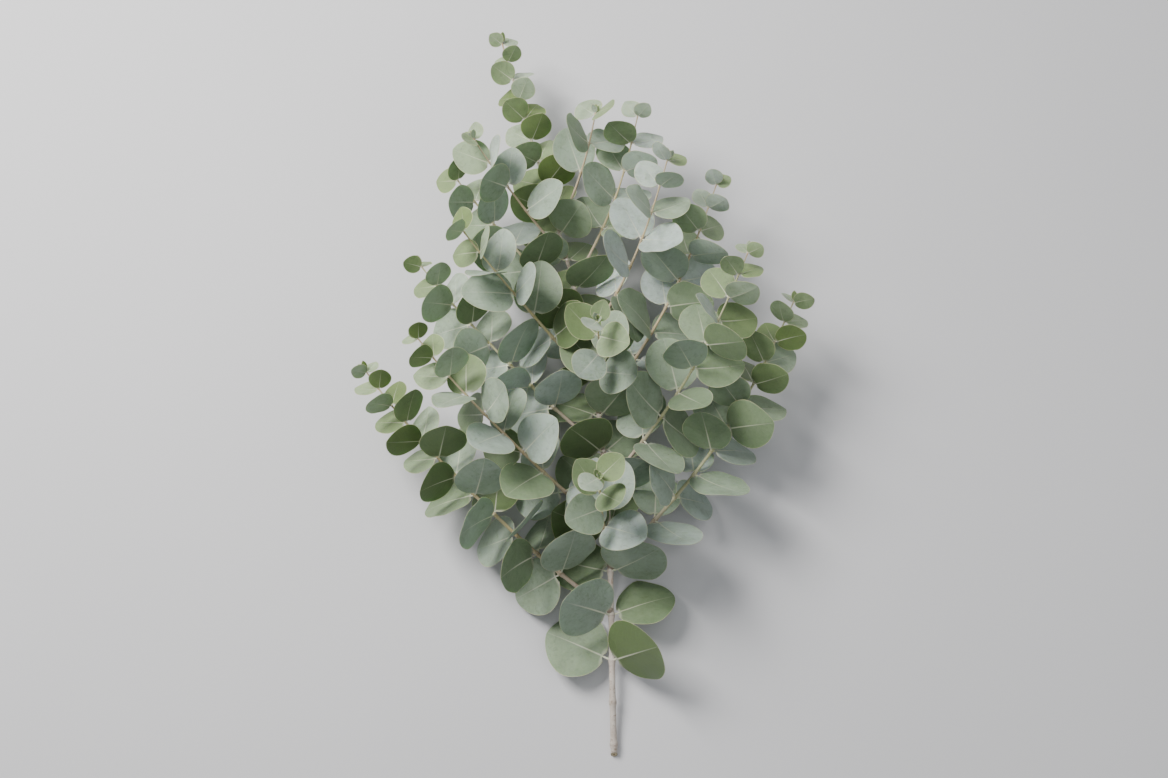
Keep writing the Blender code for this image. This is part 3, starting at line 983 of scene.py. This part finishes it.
# %% Vein group
vein_group, given, result = new_group(
    "leaf veins",
    [
        ("Flat place", VECTOR, None), ("Vein pairs", FLOAT, 9.0),
        ("Wander", FLOAT, 0.02), ("Seed", FLOAT, 0.0),
    ],
    [("Midrib", FLOAT), ("Side veins", FLOAT), ("Network", FLOAT)],
)
tree = vein_group
parts = add_node(tree, "ShaderNodeSeparateXYZ", {"Vector": given["Flat place"]}).outputs
shifted = add_node(tree, "ShaderNodeVectorMath", {0: given["Flat place"]}, operation="ADD")
tree.links.new(given["Seed"], shifted.inputs[1])
wobble = sum_of(tree, "SUBTRACT", noise(tree, shifted.outputs[0], 7, 2), 0.5)
off_middle = sum_of(tree, "ABSOLUTE", sum_of(tree, "SUBTRACT", parts["X"], 0.5))
rib_width = sum_of(tree, "MULTIPLY_ADD", parts["Y"], -0.013, 0.020)
rib = sum_of(tree, "DIVIDE", off_middle, rib_width)
fading = ramp(tree, parts["Y"], 0.15, 0.95, 1.0, 0.22)
midrib = sum_of(tree, "MULTIPLY", ramp(tree, rib, 0.2, 1.0, 1.0, 0.0), fading)
tree.links.new(midrib, result.inputs["Midrib"])
slant_line = sum_of(tree, "MULTIPLY_ADD", off_middle, -0.62, parts["Y"])
curved = sum_of(tree, "MULTIPLY_ADD", sum_of(tree, "MULTIPLY", off_middle, off_middle), -0.9, slant_line)
wandered = sum_of(tree, "ADD", curved, sum_of(tree, "MULTIPLY", wobble, given["Wander"]))
phase = sum_of(tree, "FRACT", sum_of(tree, "MULTIPLY", wandered, given["Vein pairs"]))
from_line = sum_of(tree, "ABSOLUTE", sum_of(tree, "SUBTRACT", phase, 0.5))
patchy = ramp(tree, noise(tree, shifted.outputs[0], 4.5, 1), 0.35, 0.65, 0.1, 1.0)
side_veins = sum_of(tree, "MULTIPLY", ramp(tree, from_line, 0.01, 0.075, 1.0, 0.0), patchy)
tree.links.new(side_veins, result.inputs["Side veins"])
cells = add_node(
    tree, "ShaderNodeTexVoronoi", {"Vector": shifted.outputs[0], "Scale": 34.0}, feature="DISTANCE_TO_EDGE"
)
tree.links.new(ramp(tree, cells.outputs["Distance"], 0.02, 0.16, 1.0, 0.0), result.inputs["Network"])

# %% [markdown]
# ## Leaf colours
#
# A leaf's tone chooses its place between a bare green leaf and a silver one. There are three scales of
# colour for it: the skin, the wax on a grown leaf, and the fresher wax on a young one. The leaves of one
# shoot have tones that are alike, as on a real branch, where each shoot has had its own share of sun.

# %% Leaf colours
SKIN_TONES = (
    (0.0, (0.066, 0.100, 0.032)), (0.35, (0.088, 0.130, 0.054)), (1.0, (0.115, 0.160, 0.090)),
)
WAX_TONES = (
    (0.0, (0.150, 0.222, 0.074)), (0.25, (0.212, 0.288, 0.150)), (0.55, (0.290, 0.368, 0.260)),
    (0.8, (0.380, 0.458, 0.396)), (1.0, (0.480, 0.555, 0.522)),
)
FRESH_TONES = (
    (0.0, (0.240, 0.345, 0.060)), (0.5, (0.345, 0.435, 0.215)), (1.0, (0.500, 0.565, 0.475)),
)
CREAM = (0.680, 0.690, 0.520)
EDGE_PALE = (0.610, 0.600, 0.360)
BROWN_SPOT = (0.150, 0.085, 0.040)
SHEEN_TINT = (0.85, 0.93, 0.95, 1)


def read_value(tree, name):
    return add_node(tree, "ShaderNodeAttribute", attribute_name=name).outputs["Fac"]


def tone_ramp(tree, value, stops):
    """A colour chosen from the stops, each a place from 0 to 1 and a colour."""
    made = add_node(tree, "ShaderNodeValToRGB", {"Fac": value})
    line = made.color_ramp.elements
    for place, colour in stops[1:-1]:
        line.new(place)
    for element, (place, colour) in zip(sorted(line, key=lambda e: e.position), stops, strict=True):
        element.position, element.color = place, (*colour, 1)
    return made.outputs["Color"]


# %% Wax over skin
def wax_colour(tree, tone):
    """The wax, fresher on a young leaf than on a grown one."""
    grown = ramp(tree, read_value(tree, "age"), 0.05, 0.50, 0.35, 1.0)
    return mixed(tree, grown, tone_ramp(tree, tone, FRESH_TONES), tone_ramp(tree, tone, WAX_TONES))


def wax_cover(tree, tone, bloom, bloom_share):
    """How much wax covers the skin: less on a green-toned leaf, and in patches and specks on any."""
    by_tone = ramp(tree, tone, 0.0, 0.6, bloom_share - 0.42, bloom_share + 0.05)
    cover = sum_of(tree, "MULTIPLY", bloom["Bloom"], by_tone)
    return sum_of(tree, "MULTIPLY_ADD", bloom["Speckle"], 0.08, cover, clamp=True)


# %% Marks on a leaf
def cream_rib(tree, midrib, stalk, colour, rib_strength):
    rib = sum_of(tree, "MULTIPLY", midrib, rib_strength)
    return mixed(tree, sum_of(tree, "MAXIMUM", rib, stalk), colour, CREAM)


def brown_specks(tree, place, colour, strength):
    """Small brown specks, one in each of a few cells."""
    cells = add_node(tree, "ShaderNodeTexVoronoi", {"Vector": place, "Scale": 95.0})
    chance = add_node(tree, "ShaderNodeSeparateXYZ", {"Vector": cells.outputs["Color"]}).outputs["X"]
    size = ramp(tree, cells.outputs["Distance"], 0.03, 0.09, strength, 0.0)
    speck = sum_of(tree, "MULTIPLY", ramp(tree, chance, 0.90, 0.95), size)
    return mixed(tree, speck, colour, BROWN_SPOT)


def pale_edge(tree, stalk, colour):
    """The thin pale line along the edge of the blade, and not along the stalk."""
    line = ramp(tree, read_value(tree, "edge"), 0.10, 0.65, 0.70, 0.0)
    line = sum_of(tree, "MULTIPLY", line, sum_of(tree, "SUBTRACT", 1.0, stalk))
    return mixed(tree, line, colour, EDGE_PALE)


# %% [markdown]
# ## The leaf's two faces
#
# Both faces mix the green skin with the wax, then draw the veins in wax, the cream midrib and stalk, the
# specks and the pale edge. The lower face is duller, with a stronger rib and veins. A little subsurface
# light makes the thin blade glow, and a little sheen gives the powder of the wax. Wax makes the surface
# rougher.

# %% Leaf finish
def leaf_material(name, bloom_share, rib_strength, vein_strength, roughness, specks):
    made, tree, shader = new_material(name, roughness)
    shader.inputs["Subsurface Weight"].default_value = 0.22
    shader.inputs["Subsurface Radius"].default_value = (0.5, 0.9, 0.2)
    shader.inputs["Subsurface Scale"].default_value = 0.0012
    shader.inputs["Sheen Weight"].default_value = 0.12
    shader.inputs["Sheen Roughness"].default_value = 0.45
    shader.inputs["Sheen Tint"].default_value = SHEEN_TINT
    place = add_node(tree, "ShaderNodeTexCoord").outputs["Object"]
    flat = add_node(tree, "ShaderNodeUVMap", uv_map="leaf").outputs["UV"]
    tone = read_value(tree, "tone")
    seed = sum_of(tree, "MULTIPLY", tone, 40)
    bloom = place_group(tree, bloom_group, {"Place": place, "Patch scale": 38.0, "Rubbed": 0.22})
    veins = place_group(tree, vein_group, {"Flat place": flat, "Wander": 0.16, "Seed": seed})

    wax = wax_colour(tree, tone)
    cover = wax_cover(tree, tone, bloom, bloom_share)
    colour = mixed(tree, cover, tone_ramp(tree, tone, SKIN_TONES), wax)
    colour = mixed(tree, sum_of(tree, "MULTIPLY", veins["Network"], vein_strength * 0.35), colour, wax)
    colour = mixed(tree, sum_of(tree, "MULTIPLY", veins["Side veins"], vein_strength), colour, wax)
    along = add_node(tree, "ShaderNodeSeparateXYZ", {"Vector": flat}).outputs["Y"]
    stalk = ramp(tree, along, 0.05, 0.11, 1.0, 0.0)
    colour = cream_rib(tree, veins["Midrib"], stalk, colour, rib_strength)
    colour = brown_specks(tree, place, colour, specks)
    colour = pale_edge(tree, stalk, colour)
    tree.links.new(colour, shader.inputs["Base Color"])

    rough = ramp(tree, cover, 0.0, 1.0, roughness - 0.14, roughness + 0.08)
    tree.links.new(rough, shader.inputs["Roughness"])
    fine_relief = sum_of(tree, "MULTIPLY", bloom["Speckle"], 0.12)
    relief = sum_of(tree, "MULTIPLY_ADD", veins["Side veins"], -0.5, fine_relief)
    relief = sum_of(tree, "MULTIPLY_ADD", veins["Network"], -0.2, relief)
    bump = add_node(tree, "ShaderNodeBump", {"Height": relief, "Strength": 0.30, "Distance": 0.0004})
    tree.links.new(bump.outputs["Normal"], shader.inputs["Normal"])
    return made


upper_face = leaf_material(
    "leaf_upper", bloom_share=0.95, rib_strength=0.68, vein_strength=0.20, roughness=0.56, specks=0.6
)
lower_face = leaf_material(
    "leaf_lower", bloom_share=0.88, rib_strength=0.90, vein_strength=0.32, roughness=0.62, specks=0.35
)
for piece in leaf_pieces:
    piece.data.materials.append(upper_face)
    piece.data.materials.append(lower_face)
print("leaf materials:", len(upper_face.node_tree.nodes), "nodes each")

# %% [markdown]
# ## Bark
#
# The woody main stem is grey-brown at the cut end and pinkish further up, and a thick white bloom makes
# most of it look cream. Its top and the side shoots are young: green, yellow or tan by the shoot's own
# tone, with little bloom, and pink at the very tip. The share attribute says how far along a point is,
# and the UV map lets the streaks run lengthways. Knuckles are darker where leaf stalks left their mark.

# %% Bark colours
BARK_OLD = (0.270, 0.185, 0.125)
BARK_PINK = (0.480, 0.350, 0.265)
BARK_BLOOM = (0.740, 0.690, 0.620)
STEM_TONES = (
    (0.0, (0.345, 0.375, 0.130)), (0.5, (0.520, 0.420, 0.140)), (1.0, (0.440, 0.290, 0.170)),
)
STEM_PINK_TIP = (0.470, 0.330, 0.200)
KNUCKLE_BROWN = (0.210, 0.125, 0.070)
STREAK_STRETCH = (14.0, 0.16, 1.0)
TURNS_GREEN_OVER = 0.25


# %% Bark finish
def bark_colour(tree, share, streak, old_until, green_from):
    """Old, pinkish and young bark along the stem, with darker streaks."""
    colour = mixed(tree, ramp(tree, share, old_until * 0.4, old_until), BARK_OLD, BARK_PINK)
    young_stem = tone_ramp(tree, read_value(tree, "tone"), STEM_TONES)
    turned_green = ramp(tree, share, green_from, green_from + TURNS_GREEN_OVER)
    colour = mixed(tree, turned_green, colour, young_stem)
    return mixed(tree, ramp(tree, streak, 0.35, 0.75, 0.0, 0.40), colour, BARK_OLD)


def knuckle_mark(tree, streak):
    """How dark the bark is at a knuckle, broken up by the streaks."""
    on_knuckle = ramp(tree, read_value(tree, "knuckle"), 0.72, 0.98)
    mark = sum_of(tree, "MULTIPLY", on_knuckle, ramp(tree, streak, 0.2, 0.8, 0.35, 0.9))
    return sum_of(tree, "MULTIPLY", mark, 0.55)


def bark_material(name, old_until, green_from, bloom_share):
    made, tree, shader = new_material(name, 0.6)
    place = add_node(tree, "ShaderNodeTexCoord").outputs["Object"]
    unrolled = add_node(tree, "ShaderNodeUVMap", uv_map="stem").outputs["UV"]
    stretched = add_node(tree, "ShaderNodeMapping", {"Vector": unrolled, "Scale": STREAK_STRETCH})
    streak = noise(tree, stretched.outputs["Vector"], 1.0, 4, 0.6, 0.3)
    share = read_value(tree, "share")
    bloom = place_group(tree, bloom_group, {"Place": place, "Patch scale": 60.0, "Rubbed": 0.7})

    colour = bark_colour(tree, share, streak, old_until, green_from)
    colour = mixed(tree, sum_of(tree, "MULTIPLY", bloom["Bloom"], bloom_share), colour, BARK_BLOOM)
    colour = mixed(tree, knuckle_mark(tree, streak), colour, KNUCKLE_BROWN)
    colour = mixed(tree, ramp(tree, share, 0.93, 1.0), colour, STEM_PINK_TIP)
    tree.links.new(colour, shader.inputs["Base Color"])
    tree.links.new(ramp(tree, streak, 0.2, 0.8, 0.52, 0.74), shader.inputs["Roughness"])

    relief = sum_of(tree, "MULTIPLY_ADD", bloom["Speckle"], 0.25, streak)
    bump = add_node(tree, "ShaderNodeBump", {"Height": relief, "Strength": 0.5, "Distance": 0.0003})
    tree.links.new(bump.outputs["Normal"], shader.inputs["Normal"])
    return made


woody_bark = bark_material("woody_bark", old_until=0.16, green_from=0.66, bloom_share=0.78)
green_bark = bark_material("green_bark", old_until=0.02, green_from=0.08, bloom_share=0.30)
print("bark materials:", len(woody_bark.node_tree.nodes), "nodes each")

# %% [markdown]
# ## Cut wood
#
# The slanted cut shows a thin ring of green-brown inner bark, cream wood with a fine grain and a soft
# brown pith. Each has a material slot of its own on the inset faces.


# %% Cut finish
def cut_material(name, light, dark, scale):
    made, tree, shader = new_material(name, 0.7)
    place = add_node(tree, "ShaderNodeTexCoord").outputs["Object"]
    grain = noise(tree, place, scale, 4, 0.65, 0.8)
    tree.links.new(mixed(tree, ramp(tree, grain, 0.3, 0.7), dark, light), shader.inputs["Base Color"])
    bump = add_node(tree, "ShaderNodeBump", {"Height": grain, "Strength": 0.4, "Distance": 0.0002})
    tree.links.new(bump.outputs["Normal"], shader.inputs["Normal"])
    tree.links.new(ramp(tree, grain, 0.2, 0.8, 0.6, 0.8), shader.inputs["Roughness"])
    return made


inner_bark = cut_material("inner_bark", light=(0.26, 0.24, 0.10), dark=(0.15, 0.12, 0.05), scale=2200)
fresh_wood = cut_material("fresh_wood", light=(0.62, 0.55, 0.36), dark=(0.50, 0.41, 0.25), scale=1500)
pith = cut_material("pith", light=(0.36, 0.25, 0.14), dark=(0.24, 0.16, 0.09), scale=3000)
for piece in bark_pieces:
    own_bark = woody_bark if piece is bark_pieces[0] else green_bark
    for finish in (own_bark, inner_bark, fresh_wood, pith):
        piece.data.materials.append(finish)
print("cut materials:", inner_bark.name, fresh_wood.name, pith.name)

# %% [markdown]
# ## The table's finish
#
# The table is a plain pale grey with the faintest mottle, so that it reads as a real surface and not as
# an empty background. Far from the branch it would be left in the dark, so it fades away there and lets
# the grey of the room show, and a low view has no hard horizon.

# %% Table finish
TABLE_DARK, TABLE_LIGHT = (0.66, 0.655, 0.67), (0.71, 0.705, 0.72)
SOLID_TO, GONE_BY = 1.1, 2.6

table_finish, tree, shader = new_material("pale_table", 0.75)
place = add_node(tree, "ShaderNodeTexCoord").outputs["Object"]
mottle = noise(tree, place, 3.0, 3, 0.5)
tree.links.new(mixed(tree, mottle, TABLE_DARK, TABLE_LIGHT), shader.inputs["Base Color"])
far = add_node(tree, "ShaderNodeVectorMath", {0: place}, operation="LENGTH").outputs["Value"]
tree.links.new(ramp(tree, far, SOLID_TO, GONE_BY, 1.0, 0.0), shader.inputs["Alpha"])
table.data.materials.append(table_finish)
print("the table fades out from", SOLID_TO, "to", GONE_BY, "m")

# %% [markdown]
# ## Check the size
#
# The fine surface must not grow past the solid model. The two boxes are written side by side.

# %% Compare the boxes
low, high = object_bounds()
print("grew by", [round(v * 1000, 1) for v in cad_low - low], "mm at the low corner and")
print("by", [round(v * 1000, 1) for v in high - cad_high], "mm at the high one")
